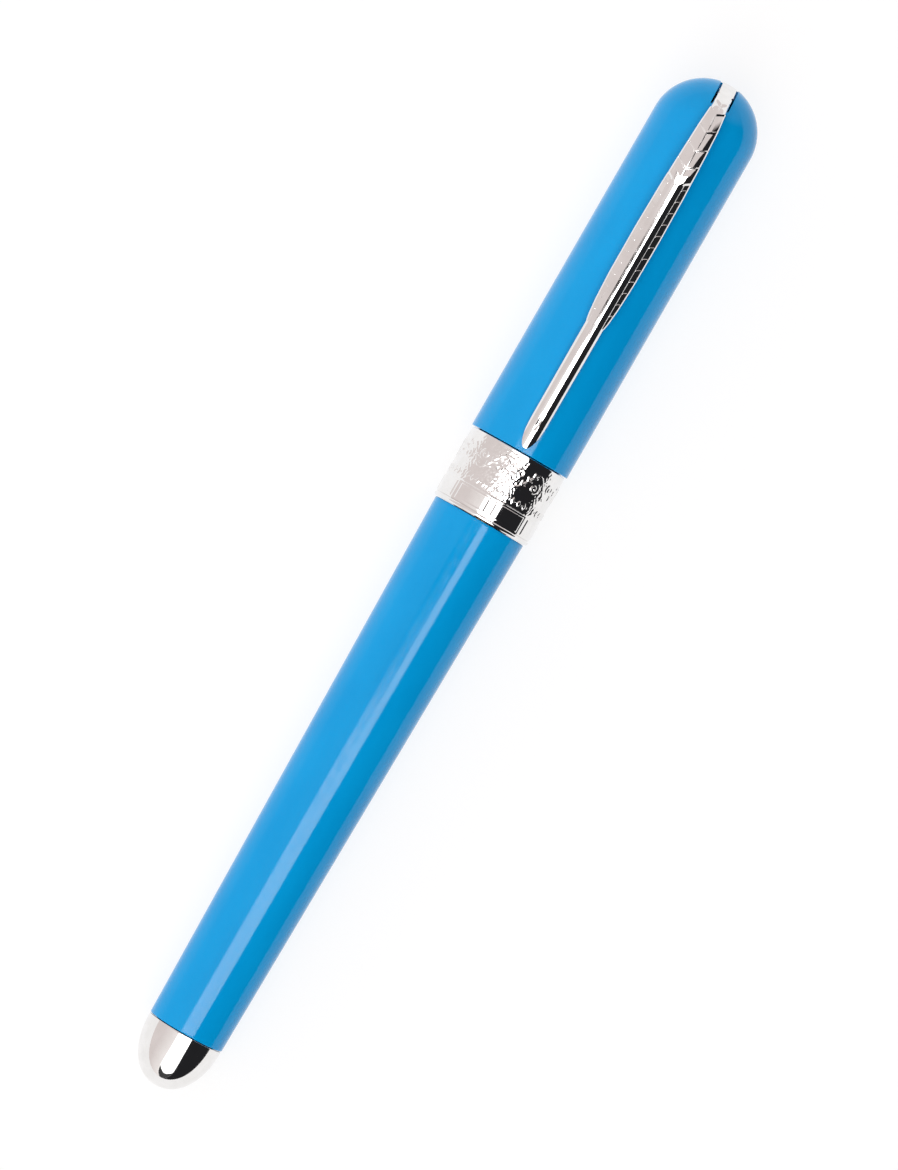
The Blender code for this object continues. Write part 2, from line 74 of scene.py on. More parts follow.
AXIS = middle_height("inner_cap")
CAP_START, CAP_END = ends("cap_shell")
CAP_RADIUS = radius_of("cap_shell")
DOME_CENTRE = CAP_END - CAP_RADIUS
# The band's metal starts a groove's width before the resin.
BAND_GROOVE = 0.16
BAND_START = ends("centre_band")[0]
BAND_END = CAP_START - BAND_GROOVE
BAND_RADIUS = radius_of("centre_band")
BARREL_START, BARREL_MOUTH = ends("barrel_tube")
BARREL_RADIUS = radius_of("barrel_tube")
TAIL_END = ends("barrel_finial")[0]
TAIL_RADIUS = radius_of("barrel_finial")

# A fine gap between two pieces that meet, which shows as a dark line
SHADOW_GAP = 0.1

# How far a cutter reaches past the face that it cuts
CUT_PAST = 1.0

# Columns round a turned piece: large outer pieces, other pieces, thin inner ones, threads
LARGE_COLUMNS = 224
COLUMNS = 160
INNER_COLUMNS = 96
THREAD_COLUMNS = 120

# Thread of the writing section, a right-handed one
THREAD_PITCH = 1.2
THREAD_TURNS = 5
THREAD_START = -3.0

# Magnets, six to a ring
MAGNET_COUNT = 6
MAGNET_CIRCLE = 5.1
MAGNET_POCKET = 0.45
MAGNET_POCKET_DEPTH = 2.2


# ---------------------------------------------------------------- meshes


def add_piece(name, mesh, slot, body, *nodes):
    """Put a mesh in the scene as a piece that rides on a body and stands for the named CAD nodes."""
    obj = bpy.data.objects.new(name, mesh)
    bpy.context.scene.collection.objects.link(obj)
    obj.data.materials.clear()
    obj.data.materials.append(LOOKS[slot])
    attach(obj, body)
    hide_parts(*nodes)


def smooth(mesh, corner=35):
    mesh.shade_smooth()
    mesh.set_sharp_from_angle(angle=radians(corner))
    return mesh


def grid_mesh(name, points, closed_rows=True):
    """A mesh over rows of points, each row closed on itself. The last row joins the first if asked.

    Points is an array of rows, columns and (x, y, height)."""
    rows, columns, _ = points.shape
    number = np.arange(rows * columns).reshape(rows, columns)
    following = np.roll(number, -1, axis=0)
    if not closed_rows:
        number, following = number[:-1], following[:-1]
    beside, across = np.roll(number, -1, axis=1), np.roll(following, -1, axis=1)
    faces = np.stack([number, beside, across, following], axis=-1).reshape(-1, 4)
    places = (points.reshape(-1, 3) + (0.0, 0.0, AXIS)) * MM
    mesh = bpy.data.meshes.new(name)
    mesh.from_pydata(places.tolist(), [], faces.tolist())
    return mesh


def tidied(mesh, caps=False):
    """Merge the points that a grid doubles on the axis, cap open ends and turn every face outwards."""
    work = bmesh.new()
    work.from_mesh(mesh)
    bmesh.ops.remove_doubles(work, verts=work.verts, dist=0.0005 * MM)
    if caps:
        bmesh.ops.holes_fill(work, edges=work.edges, sides=0)
    bmesh.ops.recalc_face_normals(work, faces=work.faces)
    work.to_mesh(mesh)
    work.free()
    return smooth(mesh)


def around(columns):
    """Angles round the pen, one to a column."""
    return 2 * pi * np.arange(columns) / columns


def wrapped(x, radius, angles):
    """Rows of points round the axis from places along the pen and radii, arrays that fit rows and columns."""
    return np.stack(np.broadcast_arrays(x, -radius * np.sin(angles), radius * np.cos(angles)), axis=-1)


def softened(outline, size, steps=3):
    """A closed outline with its corners rounded. Points on the axis stay.

    On a long side a further point near the corner keeps the rounding out of that side's shading."""
    hold = 2.5 * size
    least_corner = radians(20)
    made = []
    for i, point in enumerate(outline):
        corner = Vector(point)
        before = Vector(outline[i - 1]) - corner
        after = Vector(outline[(i + 1) % len(outline)]) - corner
        if corner.y == 0 or (-before).angle(after) < least_corner:
            made.append(tuple(corner))
            continue
        start = corner + before.normalized() * min(size, before.length * 0.4)
        end = corner + after.normalized() * min(size, after.length * 0.4)
        if before.length > 4 * hold:
            made.append(tuple(corner + before.normalized() * hold))
        for step in range(steps + 1):
            t = step / steps
            made.append(tuple(start * (1 - t) ** 2 + corner * 2 * t * (1 - t) + end * t * t))
        if after.length > 4 * hold:
            made.append(tuple(corner + after.normalized() * hold))
    return made


def turned(name, outline, soft=0.06, columns=COLUMNS):
    """A turned mesh from a closed outline, with soft corners."""
    rows = np.array(softened(outline, soft) if soft else outline)
    x, radius = rows[:, :1], rows[:, 1:]
    return tidied(grid_mesh(name, wrapped(x, radius, around(columns))))


def tube(start, end, radius, bore):
    return [(start, bore), (start, radius), (end, radius), (end, bore)]


def arc(centre_x, centre_r, radius, first, last, steps):
    """Points of an arc from one angle to another, in degrees from +X."""
    angles = [radians(first + (last - first) * i / steps) for i in range(steps + 1)]
    return [(centre_x + radius * cos(a), centre_r + radius * sin(a)) for a in angles]


def box_mesh(name, low, high):
    """A box between two corners, as a cutter."""
    low, high = Vector(low), Vector(high)
    work = bmesh.new()
    bmesh.ops.create_cube(work, size=MM)
    bmesh.ops.scale(work, vec=high - low, verts=work.verts)
    bmesh.ops.translate(work, vec=((low + high) / 2 + Vector((0, 0, AXIS))) * MM, verts=work.verts)
    mesh = bpy.data.meshes.new(name)
    work.to_mesh(mesh)
    work.free()
    return mesh


def magnet_pockets_mesh(name, start, end):
    """Six round rods along the pen on the magnets' circle, as a cutter."""
    work = bmesh.new()
    for angle in around(MAGNET_COUNT):
        middle = Vector(((start + end) / 2, MAGNET_CIRCLE * cos(angle), AXIS + MAGNET_CIRCLE * sin(angle)))
        bmesh.ops.create_cone(
            work,
            cap_ends=True,
            segments=32,
            radius1=MAGNET_POCKET * MM,
            radius2=MAGNET_POCKET * MM,
            depth=(end - start) * MM,
            matrix=Matrix.Translation(middle * MM) @ Matrix.Rotation(pi / 2, 4, "Y"),
        )
    mesh = bpy.data.meshes.new(name)
    work.to_mesh(mesh)
    work.free()
    return mesh


def cut(mesh, cutter_mesh):
    """The mesh with the cutter's shape taken out of it."""
    target = bpy.data.objects.new(mesh.name, mesh)
    cutter = bpy.data.objects.new(cutter_mesh.name, cutter_mesh)
    for obj in (target, cutter):
        bpy.context.scene.collection.objects.link(obj)
    boolean = target.modifiers.new("cut", "BOOLEAN")
    boolean.object = cutter
    bpy.context.view_layer.update()
    graph = bpy.context.evaluated_depsgraph_get()
    made = bpy.data.meshes.new_from_object(target.evaluated_get(graph))
    for obj in (target, cutter):
        bpy.data.objects.remove(obj)
    return smooth(made)


def eased(x, start, end):
    """0 before start and 1 after end, with a smooth rise between them."""
    t = np.clip((x - start) / (end - start), 0.0, 1.0)
    return t * t * (3 - 2 * t)


# ---------------------------------------------------------------- materials


class Look:
    """A Principled material whose nodes are patterned by the piece's own coordinates."""

    def __init__(self, name, roughness, metallic=0.0, **values):
        self.slot = name
        self.material = bpy.data.materials.new(name + "_look")
        self.material.use_nodes = True
        self.nodes = self.material.node_tree.nodes
        self.links = self.material.node_tree.links
        self.shader = self.nodes["Principled BSDF"]
        self.place = self.nodes.new("ShaderNodeTexCoord").outputs["Object"]
        self.shader.inputs["Metallic"].default_value = metallic
        self.shader.inputs["Roughness"].default_value = roughness
        for socket, value in values.items():
            self.shader.inputs[socket.replace("_", " ")].default_value = value

    def noise(self, size, stretch=(1, 1, 1), detail=3.0):
        """Noise with features of about this size in millimetres, drawn out along an axis by its stretch."""
        mapping = self.nodes.new("ShaderNodeMapping")
        mapping.inputs["Scale"].default_value = [1 / (size * MM * s) for s in stretch]
        texture = self.nodes.new("ShaderNodeTexNoise")
        texture.inputs["Scale"].default_value = 1.0
        texture.inputs["Detail"].default_value = detail
        self.links.new(self.place, mapping.inputs["Vector"])
        self.links.new(mapping.outputs["Vector"], texture.inputs["Vector"])
        return texture.outputs["Fac"]

    def spread(self, factor, low, high, edge=0.35):
        """The factor's middle range, spread from low to high."""
        node = self.nodes.new("ShaderNodeMapRange")
        node.inputs["From Min"].default_value = edge
        node.inputs["From Max"].default_value = 1 - edge
        node.inputs["To Min"].default_value = low
        node.inputs["To Max"].default_value = high
        self.links.new(factor, node.inputs["Value"])
        return node.outputs["Result"]

    def colour(self, factor, dark, light):
        node = self.nodes.new("ShaderNodeMix")
        node.data_type = "RGBA"
        node.inputs["A"].default_value = (*dark, 1.0)
        node.inputs["B"].default_value = (*light, 1.0)
        self.links.new(self.spread(factor, 0.0, 1.0), node.inputs["Factor"])
        self.links.new(node.outputs["Result"], self.shader.inputs["Base Color"])

    def rough(self, factor, low, high):
        self.links.new(self.spread(factor, low, high), self.shader.inputs["Roughness"])

    def bump(self, factor, depth):
        """Relief of this depth in millimetres."""
        node = self.nodes.new("ShaderNodeBump")
        node.inputs["Distance"].default_value = depth * MM
        self.links.new(factor, node.inputs["Height"])
        self.links.new(node.outputs["Normal"], self.shader.inputs["Normal"])
        return self


def blue_resin():
    """Cast resin, polished: a faint cloudiness under a clear gloss, and a little orange peel."""
    look = Look("blue_resin", 0.08, IOR=1.5, Specular_IOR_Level=0.26)
    look.colour(look.noise(5.0, (2.5, 1, 1)), (0.0005, 0.357, 0.795), (0.0015, 0.384, 0.835))
    look.rough(look.noise(1.2), 0.05, 0.12)
    return look.bump(look.noise(0.9, (2, 1, 1), 1.0), 0.0004)


def silver_trim():
    """Bright plated metal, with the slight waviness and fine wipe marks of a polished casting."""
    look = Look("silver_trim", 0.06, metallic=1.0)
    look.colour(look.noise(1.6), (0.82, 0.81, 0.80), (0.86, 0.85, 0.845))
    look.rough(look.noise(0.25, (6, 1, 1)), 0.03, 0.08)
    return look.bump(look.noise(0.8), 0.0006)


def turned_metal(name, dark, light, roughness):
    """Metal with the fine rings that a lathe leaves round it."""
    look = Look(name, roughness, metallic=1.0)
    rings = look.noise(0.08, (1, 60, 60), 2.0)
    look.colour(look.noise(0.6, (1, 4, 4)), dark, light)
    look.rough(rings, roughness * 0.7, roughness * 1.4)
    return look.bump(rings, 0.004)


def moulded(name, dark, light, roughness, grain, depth, **values):
    """Moulded plastic or rubber with a fine grain."""
    look = Look(name, roughness, **values)
    look.colour(look.noise(grain * 6), dark, light)
    look.rough(look.noise(grain * 2), roughness * 0.8, roughness * 1.2)
    return look.bump(look.noise(grain), depth)


def ink_fibre():
    """Bundled fibres along the refill, soaked with ink."""
    look = Look("ink_fibre", 0.85)
    fibres = look.noise(0.05, (80, 1, 1), 4.0)
    look.colour(fibres, (0.012, 0.02, 0.12), (0.05, 0.08, 0.3))
    return look.bump(fibres, 0.02)


def carbide():
    """Lapped tungsten carbide, a fine-pored ceramic grey."""
    look = Look("carbide", 0.2, metallic=1.0)
    pores = look.noise(0.03)
    look.colour(pores, (0.2, 0.2, 0.22), (0.36, 0.36, 0.38))
    look.rough(pores, 0.12, 0.3)
    return look.bump(pores, 0.001)


def make_looks():
    looks = [
        blue_resin(),
        silver_trim(),
        turned_metal("brass", (0.70, 0.52, 0.24), (0.82, 0.64, 0.33), 0.26),
        turned_metal("steel", (0.60, 0.60, 0.60), (0.74, 0.74, 0.74), 0.22),
        turned_metal("spring_steel", (0.50, 0.50, 0.52), (0.64, 0.64, 0.66), 0.28),
        turned_metal("magnet_nickel", (0.64, 0.63, 0.61), (0.76, 0.75, 0.73), 0.18),
        carbide(),
        moulded("rubber", (0.014, 0.014, 0.014), (0.028, 0.028, 0.028), 0.6, 0.08, 0.004),
        moulded("white_nylon", (0.80, 0.80, 0.76), (0.88, 0.88, 0.85), 0.42, 0.1, 0.002),
        moulded("black_plastic", (0.015, 0.015, 0.017), (0.028, 0.028, 0.03), 0.35, 0.1, 0.003),
        moulded("refill_plastic", (0.70, 0.71, 0.74), (0.79, 0.80, 0.82), 0.28, 0.3, 0.001, Coat_Weight=0.3),
        ink_fibre(),
    ]
    return {look.slot: look.material for look in looks}


def dress_cad_nodes():
    """Give every CAD node that stays the look of its slot."""
    for part in frame["record"]["subparts"]:
        node = frame["nodes"][part["node"]]
        node.data.materials.clear()
        node.data.materials.append(LOOKS[part["material_slot"]])


# ---------------------------------------------------------------- barrel


def make_barrel():
    """Tapered resin tube with a softly rounded mouth, a seat for the insert and a pocket for the finial."""
    pocket, pocket_end = 4.0, -58.9
    seat, seat_end = 5.2, -4.9
    bore = 3.4
    outline = [
        (BARREL_START, pocket),
        (BARREL_START, TAIL_RADIUS),
        (BARREL_MOUTH, BARREL_RADIUS),
        (BARREL_MOUTH, seat),
        (seat_end, seat),
        (seat_end, bore),
        (pocket_end, bore),
        (pocket_end, pocket),
    ]
    mesh = turned("barrel_tube_resin", outline, 0.16, LARGE_COLUMNS)
    add_piece("barrel_tube_resin", mesh, "blue_resin", "barrel", "barrel_tube")


def make_finial():
    """Polished bullet on a superellipse, with its hollow spigot."""
    start = BARREL_START - SHADOW_GAP
    length = start - TAIL_END
    fullness = 2.15
    power = 2 / fullness
    spigot, spigot_end = 3.9, -59.2
    hollow, hollow_end = 2.9, -67.0
    steps = 72
    angles = [radians(90 * i / steps) for i in range(steps + 1)]
    bullet = [(start - length * cos(a) ** power, TAIL_RADIUS * sin(a) ** power) for a in angles]
    bullet[0] = (TAIL_END, 0.0)
    inside = [
        (start, spigot),
        (spigot_end, spigot),
        (spigot_end, hollow),
        (hollow_end, hollow),
        (hollow_end, 0.0),
    ]
    mesh = turned("finial_bullet", bullet + inside, 0.05, LARGE_COLUMNS)
    add_piece("finial_bullet", mesh, "silver_trim", "barrel", "barrel_finial")


def thread_rows(start, end, root, crest, middle, root_width, crest_width):
    """Rows of a helical thread between two places, as (x, radius) arrays.

    The middle is where its first turn begins, at the top. It runs in and out smoothly."""
    row_pitch, run_in = 0.05, 0.8
    x = np.arange(start, end, row_pitch)[:, None]
    turn = around(THREAD_COLUMNS)[None, :] / (2 * pi)
    # The angle in this script grows from +Z to -Y, the way a right-handed thread moves off along +X.
    along = x - middle - THREAD_PITCH * turn
    nearest = np.round(along / THREAD_PITCH)
    offset = np.abs(along - nearest * THREAD_PITCH)
    flank = np.clip((root_width / 2 - offset) / ((root_width - crest_width) / 2), 0.0, 1.0)
    run_out = eased(x, middle + THREAD_PITCH * THREAD_TURNS, middle + THREAD_PITCH * (THREAD_TURNS + 1))
    run = eased(x, middle, middle + run_in) * (1 - run_out)
    return np.broadcast_to(x, flank.shape), root + (crest - root) * flank * run


def add_threaded(name, before, thread, after, slot, body, node):
    """A turned piece whose outline has a stretch of thread between its plain rows."""
    angles = around(THREAD_COLUMNS)
    plain = [np.array(part) for part in (before, after)]
    first, last = [wrapped(p[:, :1], p[:, 1:], angles) for p in plain]
    points = np.concatenate([first, wrapped(*thread, angles), last])
    mesh = tidied(grid_mesh(name, points))
    add_piece(name, mesh, slot, body, node)


def make_insert():
    """Brass bushing in the barrel's mouth, with the female thread."""
    start, end = ends("barrel_insert")
    radius, bore, crest = radius_of("barrel_insert"), 4.6, 3.97
    root_width, crest_width = 0.5, 0.24
    lead, bevel, countersink = 0.3, 0.1, 0.15
    # Its turns lie between those of the male thread.
    middle = THREAD_START + THREAD_PITCH / 2
    thread = thread_rows(start + lead, end - lead, bore, crest, middle, root_width, crest_width)
    before = [
        (end, bore + countersink),
        (end, radius - bevel),
        (end - bevel, radius),
        (start + bevel, radius),
        (start, radius - bevel),
        (start, bore + countersink),
    ]
    after = [(end - 2 * bevel, bore)]
    add_threaded("insert_thread", before, thread, after, "brass", "barrel", "barrel_insert")


# ---------------------------------------------------------------- writing section


def make_connector():
    """Brass nipple with the male thread."""
    start, end = ends("section_connector")
    bore, neck, root, crest = 3.25, 3.7, 3.8, 4.35
    root_width, crest_width = 0.62, 0.26
    thread_end, root_end, neck_start = 7.9, 8.0, 8.3
    lead, tip_bevel, neck_bevel = 0.25, 0.2, 0.1
    thread = thread_rows(start + lead, thread_end, root, crest, THREAD_START, root_width, crest_width)
    before = [(end, bore), (start, bore), (start, root - tip_bevel), (start + tip_bevel, root)]
    after = [(root_end, root), (neck_start, neck), (end - neck_bevel, neck), (end, neck - neck_bevel)]
    add_threaded("connector_thread", before, thread, after, "brass", "section", "section_connector")


def make_section_seal():
    """Rubber O-ring."""
    start, end = ends("section_o_ring")
    wire = (end - start) / 2
    points = 24
    ring = arc((start + end) / 2, radius_of("section_o_ring") - wire, wire, 0, 360 - 360 / points, points - 1)
    add_piece("seal_ring", turned("seal_ring", ring, 0), "rubber", "section", "section_o_ring")


def make_collar():
    """Polished ring at the grip's root, with pockets for its magnets."""
    start, face = ends("section_collar")
    radius, bore = radius_of("section_collar"), 3.85
    groove = face - 1.1
    groove_half, groove_depth = 0.15, 0.12
    outline = [
        (start, bore),
        (start, radius),
        (groove - groove_half, radius),
        (groove, radius - groove_depth),
        (groove + groove_half, radius),
        (face, radius),
        (face, bore),
    ]
    pockets = magnet_pockets_mesh("collar_pockets", face - MAGNET_POCKET_DEPTH, face + CUT_PAST)
    mesh = cut(turned("collar_ring", outline, 0.12), pockets)
    add_piece("collar_ring", mesh, "silver_trim", "section", "section_collar")


def make_grip():
    """Resin grip: a seat for the washer, a shoulder, a waist and a flare that rolls in at its end."""
    start, end = ends("grip_section")
    bore, seat = 3.3, 4.1
    socket, socket_end = 3.8, 22.2
    base_x, base_r, base_length = 13.2, 4.4, 3.0
    waist_x, waist_r = 29.0, 4.05
    flare_x, flare_r = 37.2, 4.35
    end_r = 3.6
    steps = 24
    sweep = []
    for i in range(steps + 1):
        swell = (1 + cos(pi * i / steps)) / 2
        sweep.append((flare_x + (waist_x - flare_x) * i / steps, waist_r + (flare_r - waist_r) * swell))
    roll = []
    for angle in np.linspace(0.15, pi / 2, 12):
        roll.append((flare_x + (end - flare_x) * sin(angle), end_r + (flare_r - end_r) * cos(angle)))
    outline = [
        (end, bore),
        (socket_end, bore),
        (socket_end, socket),
        (start, socket),
        (start, seat),
        (base_x, seat),
        (base_x, base_r),
        (base_x + base_length, base_r),
        *reversed(sweep),
        *roll,
    ]
    add_piece("grip_resin", turned("grip_resin", outline, 0.08), "blue_resin", "section", "grip_section")


def make_nose():
    """Polished cone with a bead where it meets the grip, a spigot into the grip and a stepped bore."""
    _, end = ends("nose_cone")
    start = ends("grip_section")[1] + SHADOW_GAP
    face_r, front_r, widening, bow = 1.6, 1.85, 1.7, 0.8
    front = end - 0.35
    spigot, spigot_start = 3.2, 36.0
    holder_bore, holder_end = 2.55, 42.9
    step_bore, step_end = 1.9, 45.5
    tip_bore = 1.3
    steps = 20
    side = []
    for i in range(steps + 1):
        side.append((front - (front - start) * i / steps, front_r + widening * (i / steps) ** bow))
    groove_x, groove_r = side[-3]
    side[-3] = (groove_x, groove_r - 0.1)
    outline = [
        (end, face_r),
        *side,
        (start, spigot),
        (spigot_start, spigot),
        (spigot_start, holder_bore),
        (holder_end, holder_bore),
        (holder_end, step_bore),
        (step_end, step_bore),
        (step_end, tip_bore),
        (end, tip_bore),
    ]
    add_piece("nose_bright", turned("nose_bright", outline, 0.08), "silver_trim", "section", "nose_cone")


def make_washer():
    """Nylon washer between the cap's magnet ring and the section's."""
    start, end = ends("cap_seat_washer")
    bore = 4.2
    mesh = turned("washer_disc", tube(start, end, radius_of("cap_seat_washer"), bore), 0.08)
    add_piece("washer_disc", mesh, "white_nylon", "cap_seat_washer", "cap_seat_washer")


# ---------------------------------------------------------------- refill


def make_refill_tube():
    """Plastic tube that holds the ink."""
    start, end = ends("refill_tube")
    bore = 2.65
    mesh = turned("refill_sleeve", tube(start, end, radius_of("refill_tube"), bore), 0.08, INNER_COLUMNS)
    add_piece("refill_sleeve", mesh, "refill_plastic", "refill", "refill_tube")


def make_refill_tip():
    """Turned metal point: a shank, a cone, and the socket that curls in over the ball."""
    start, lip = ends("refill_tip")
    lip_r, lip_bore = 0.45, 0.345
    cone = [(51.4, 0.5), (50.2, 0.62), (48.9, 0.95)]
    shank, shank_front, shank_back = 1.15, 48.2, 45.3
    tail = 1.0
    bore, bore_end = 0.6, 47.8
    ink_bore, ink_bore_end = 0.2, 51.1
    socket, socket_front = 0.41, 51.5
    outline = [
        (lip, lip_r),
        *cone,
        (shank_front, shank),
        (shank_back, shank),
        (shank_back, tail),
        (start, tail),
        (start, bore),
        (bore_end, bore),
        (bore_end, ink_bore),
        (ink_bore_end, ink_bore),
        (ink_bore_end, socket),
        (socket_front, socket),
        (lip, lip_bore),
    ]
    mesh = turned("point_metal", outline, 0.03, columns=72)
    add_piece("point_metal", mesh, "steel", "refill", "refill_tip")


def make_ball():
    """The ball in the point's socket."""
    low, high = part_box("writing_ball")
    centre, radius = (low.x + high.x) / MM / 2, (high.z - low.z) / MM / 2
    half = arc(centre, 0.0, radius, 0, 180, 32)
    half[0], half[-1] = (centre + radius, 0.0), (centre - radius, 0.0)
    mesh = turned("point_ball", half, 0, columns=64)
    add_piece("point_ball", mesh, "carbide", "writing_ball", "writing_ball")


# ---------------------------------------------------------------- cap


def make_cap_resin():
    """Resin cap with a hemispherical dome and the slot that takes the clip's root."""
    wall_bore, sleeve_bore, sleeve_end = 5.55, 5.85, 22.9
    slot_half, slot_start, slot_floor, slot_top = 1.25, 67.4, -0.9, 8.0
    dome = arc(DOME_CENTRE, 0.0, CAP_RADIUS, 90, 0, 64)
    hollow = arc(DOME_CENTRE, 0.0, wall_bore, 0, 90, 32)
    dome[-1] = (CAP_END, 0.0)
    hollow[0] = (DOME_CENTRE + wall_bore, 0.0)
    lip = [
        (sleeve_end, wall_bore),
        (sleeve_end, sleeve_bore),
        (CAP_START, sleeve_bore),
        (CAP_START, CAP_RADIUS),
    ]
    slot = box_mesh("slot", (slot_start, -slot_half, slot_floor), (CAP_END + CUT_PAST, slot_half, slot_top))
    mesh = cut(turned("cap_resin", dome + hollow + lip, 0.07, LARGE_COLUMNS), slot)
    add_piece("cap_resin", mesh, "blue_resin", "cap", "cap_shell")


def make_cap_magnet_ring():
    """Ring inside the cap's lip, with pockets for its magnets."""
    face, end = ends("cap_magnet_ring")
    radius, bore = radius_of("cap_magnet_ring"), 4.55
    pockets = magnet_pockets_mesh("cap_pockets", face - CUT_PAST, face + MAGNET_POCKET_DEPTH)
    mesh = cut(turned("cap_ring", tube(face, end, radius, bore), 0.1), pockets)
    add_piece("cap_ring", mesh, "silver_trim", "cap", "cap_magnet_ring")


def make_inner_cap():
    """Plastic liner that keeps the point from drying."""
    start, end = ends("inner_cap")
    radius, bore = radius_of("inner_cap"), 4.9
    floor = end - 0.6
    outline = [(end, 0.0), (end, radius), (start, radius), (start, bore), (floor, bore), (floor, 0.0)]
    mesh = turned("liner_cup", outline, 0.25, INNER_COLUMNS)
    add_piece("liner_cup", mesh, "black_plastic", "cap", "inner_cap")


def distance_to(strokes, across, along):
    """How far each point of a grid is from the nearest of a list of strokes, which are runs of points."""
    nearest = np.full(np.broadcast(across, along).shape, 1e9)
    for stroke in strokes:
        for (x0, y0), (x1, y1) in zip(stroke, stroke[1:]):
            dx, dy = x1 - x0, y1 - y0
            t = np.clip(((across - x0) * dx + (along - y0) * dy) / (dx * dx + dy * dy), 0.0, 1.0)
            nearest = np.minimum(nearest, np.hypot(across - x0 - t * dx, along - y0 - t * dy))
    return nearest


def spiral(centre, radius, start_angle, turns):
    """A curl that winds in from its outer end, as a run of points."""
    count = 22
    tightening = 0.8
    made = []
    for i in range(count + 1):
        t = i / count
        angle = radians(start_angle) + 2 * pi * turns * t
        reach = radius * (1 - tightening * t)
        made.append((centre[0] + reach * cos(angle), centre[1] + reach * sin(angle)))
    return made


def scroll_strokes(width, middle):
    """A running vine, one wave wide: a stem, a curl in each bay and pairs of leaves between the bays."""
    swing = 1.3
    curl_radius, curl_rise, curl_turns = 0.75, 0.4, -1.3
    leaf_length, leaf_spread = 0.55, 45

    def stem_point(t):
        return Vector((width * t, middle - swing * sin(2 * pi * t)))

    # The stem runs on a little past the wave's two ends, for the strokes to meet those of the next tile.
    stem = [tuple(stem_point(i / 32)) for i in range(-4, 37)]
    curls = [
        spiral((width * 0.25, middle + curl_rise), curl_radius, 245, curl_turns),
        spiral((width * 0.75, middle - curl_rise), curl_radius, 65, curl_turns),
    ]
    leaves = []
    for place in (-0.1, 0.0, 0.1, 0.4, 0.5, 0.6, 0.9, 1.0):
        root = stem_point(place)
        heading = (stem_point(place + 0.01) - root).normalized()
        for spread in (-leaf_spread, leaf_spread):
            leaf = leaf_length * (Matrix.Rotation(radians(spread), 2) @ heading)
            leaves.append([tuple(root), tuple(root + leaf)])
    return [stem, *curls, *leaves]


def hammered(across, along, tile):
    """A fine uneven ground that repeats from tile to tile: waves in random directions, from -1 to 1 or so."""
    dice = np.random.default_rng(5)
    ground = 0.0
    for _ in range(30):
        cycles = dice.integers(-14, 15)
        along_rate = dice.uniform(-2.0, 2.0)
        phase = dice.uniform(0, 1)
        ground = ground + np.sin(2 * pi * (cycles * across / tile + along_rate * along + phase))
    return ground / 5


# The band's zones along the pen, from its mouth up, and the depth of its ground below the full radius
PANEL_LOW, PANEL_HIGH = 9.95, 12.1
DOTS_LOW, DOTS_HIGH = 12.55, 13.8
VINE_LOW, VINE_HIGH = 13.95, 18.25
BAND_GROUND = 0.075


def raised(distance, start, end, height):
    """A rise of this height that eases away between two distances from its middle."""
    return height * (1 - eased(distance, start, end))


def vine(depth, across, along, tile):
    """Carve the vine's zone: a hammered ground and the raised scroll."""
    zone = eased(along, DOTS_LOW - 0.3, DOTS_LOW) * (1 - eased(along, BAND_END - 0.5, BAND_END - 0.3))
    depth = depth + 0.008 * zone * hammered(across, along, tile)
    strokes = distance_to(scroll_strokes(tile, (VINE_LOW + VINE_HIGH) / 2), across, along)
    return depth - raised(strokes, 0.03, 0.14, 0.07)


def lozenges(depth, across, along, tile):
    """Carve a row of upright lozenges with a bead between each two."""
    pitch = tile / 6
    half_width, half_height = 0.3, 0.55
    middle = (DOTS_LOW + DOTS_HIGH) / 2
    beside = np.abs((across / pitch) % 1.0 - 0.5) * pitch
    lozenge = beside / half_width + np.abs(along - middle) / half_height
    between = np.hypot(pitch / 2 - beside, along - middle)
    return depth - raised(lozenge, 0.6, 1.0, 0.06) - raised(between, 0.05, 0.14, 0.05)


def panels(depth, across, along, tile):
    """Carve a line, then plain panels inside a fine raised border."""
    line = np.abs(along - (PANEL_HIGH + DOTS_LOW) / 2)
    depth = depth - raised(line, 0.03, 0.09, 0.065)
    panel_half = (PANEL_HIGH - PANEL_LOW) / 2
    side = tile / 2 - 0.35 - np.abs(across - tile / 2)
    inset = np.minimum(side, panel_half - np.abs(along - (PANEL_HIGH + PANEL_LOW) / 2))
    border_at = 0.16
    border = np.abs(inset - border_at)
    in_panels = (along > PANEL_LOW) & (along < PANEL_HIGH)
    depth = np.where(in_panels, BAND_GROUND - raised(border, 0.03, 0.1, 0.06), depth)
    return np.where(in_panels & (inset > border_at), depth - 0.035 * eased(inset, border_at, 0.3), depth)


def rims(depth, along):
    """Carve a bead at the mouth with a groove above it, and an eased edge against the resin."""
    bead_half, bead_depth, groove_depth = 0.28, 0.35, 0.16
    bead_middle = BAND_START + bead_half
    bead_end = bead_middle + bead_half
    roundness = np.clip(1 - ((along - bead_middle) / bead_half / 1.04) ** 2, 0.0, 1.0)
    bead = bead_depth * (1 - np.sqrt(roundness))
    depth = np.where(along < bead_end, np.minimum(bead, groove_depth), depth)
    depth = np.where((along >= bead_end) & (along < PANEL_LOW - 0.12), groove_depth, depth)
    return depth + 0.04 * (along > BAND_END - 0.03)


def band_relief(across, along, tile):
    """How far the band's surface lies below its full radius, over one tile of its pattern."""
    depth = vine(BAND_GROUND, across, along, tile)
    depth = lozenges(depth, across, along, tile)
    depth = panels(depth, across, along, tile)
    return rims(depth, along)


